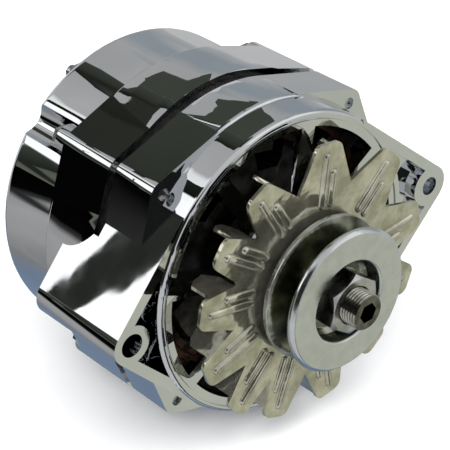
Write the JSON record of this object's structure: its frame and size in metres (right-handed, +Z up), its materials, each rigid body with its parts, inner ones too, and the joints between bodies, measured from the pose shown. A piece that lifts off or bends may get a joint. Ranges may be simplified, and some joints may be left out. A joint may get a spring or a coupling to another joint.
{
  "type": "car alternator",
  "caption": "Car alternator: V pulley and open bladed fan ahead of a round polished two-part housing with a pivot foot and an adjusting ear.",
  "frame": {"origin": "on the shaft axis at the middle of the pulley's belt groove", "axes": "+Y runs along the shaft from the pulley to the rear, +Z is up, -X points to the pivot foot and +X to the adjusting ear"},
  "size_m": [0.1863, 0.1653, 0.1452],
  "materials": {
    "polished_frame": "polished bright plating",
    "plated_steel": "bright plated steel",
    "laminations": "dark lacquered laminations",
    "winding_copper": "enamelled copper wire",
    "pole_steel": "dark forged steel",
    "bobbin_plastic": "moulded nylon",
    "slip_copper": "turned copper",
    "shaft_steel": "turned steel",
    "fan_steel": "pressed steel with warm clear zinc plating",
    "pulley_steel": "satin plated steel",
    "bearing_steel": "ground bearing steel",
    "cage_brass": "pressed brass",
    "black_plastic": "glass-filled moulding",
    "carbon": "pressed carbon",
    "spring_steel": "spring wire",
    "terminal_tin": "tinned strip",
    "cap_rubber": "soft cap",
    "sink_aluminium": "cast alloy",
    "capacitor_foil": "wrapped film",
    "insulator_red": "moulded insulator"
  },
  "bodies": {
    "housing": {"drive_end_frame": "polished_frame", "slip_ring_end_frame": "polished_frame", "through_bolts": "plated_steel", "stator_core": "laminations", "stator_winding_a": "winding_copper", "stator_winding_b": "winding_copper", "stator_winding_c": "winding_copper", "front_bearing_outer_race": "bearing_steel", "bearing_retainer": "plated_steel", "retainer_screws": "plated_steel", "rear_bearing_cup": "bearing_steel", "brush_holder": "black_plastic", "brush_spring_inner": "spring_steel", "brush_spring_outer": "spring_steel", "voltage_regulator": "black_plastic", "holder_screws": "plated_steel", "terminal_blades": "terminal_tin", "terminal_cap": "cap_rubber", "rectifier_heat_sink": "sink_aluminium", "rectifier_screws": "plated_steel", "diodes": "plated_steel", "diode_trio": "black_plastic", "capacitor": "capacitor_foil", "battery_stud": "plated_steel", "stud_insulator": "insulator_red", "stud_nut": "plated_steel", "ground_screw": "plated_steel"},
    "rotor": {"rotor_shaft": "shaft_steel", "rotor_pole_front": "pole_steel", "rotor_pole_rear": "pole_steel", "coil_bobbin": "bobbin_plastic", "field_coil": "winding_copper", "slip_ring_sleeve": "black_plastic", "slip_ring_inner": "slip_copper", "slip_ring_outer": "slip_copper", "front_collar": "shaft_steel", "fan": "fan_steel", "pulley": "pulley_steel", "lock_washer": "plated_steel", "pulley_nut": "plated_steel", "front_bearing_inner_race": "bearing_steel"},
    "front_ball_set": {"front_bearing_balls": "bearing_steel", "front_bearing_cage": "cage_brass"},
    "rear_roller_set": {"rear_bearing_rollers": "bearing_steel", "rear_bearing_cage": "cage_brass"},
    "inner_brush": {"brush_inner": "carbon"},
    "outer_brush": {"brush_outer": "carbon"}
  },
  "joints": [
    {"name": "rotor_spin", "type": "hinge", "parent": "housing", "child": "rotor", "pos_m": [0, 0, 0], "axis": [0, 1, 0], "continuous": true},
    {"name": "front_ball_spin", "type": "hinge", "parent": "housing", "child": "front_ball_set", "pos_m": [0, 0.036, 0], "axis": [0, 1, 0], "continuous": true},
    {"name": "rear_roller_spin", "type": "hinge", "parent": "housing", "child": "rear_roller_set", "pos_m": [0, 0.1235, 0], "axis": [0, 1, 0], "continuous": true},
    {"name": "inner_brush_slide", "type": "slide", "parent": "housing", "child": "inner_brush", "axis": [0, 0, -1], "range_m": [0, 0.008], "stiffness_N_per_m": 200, "springref_m": -0.01, "deforming": ["brush_spring_inner"]},
    {"name": "outer_brush_slide", "type": "slide", "parent": "housing", "child": "outer_brush", "axis": [0, 0, -1], "range_m": [0, 0.008], "stiffness_N_per_m": 200, "springref_m": -0.01, "deforming": ["brush_spring_outer"]}
  ],
  "couplings": [
    {"joint": "front_ball_spin", "follows": "rotor_spin", "ratio": 0.3825},
    {"joint": "rear_roller_spin", "follows": "rotor_spin", "ratio": 0.4288}
  ]
}
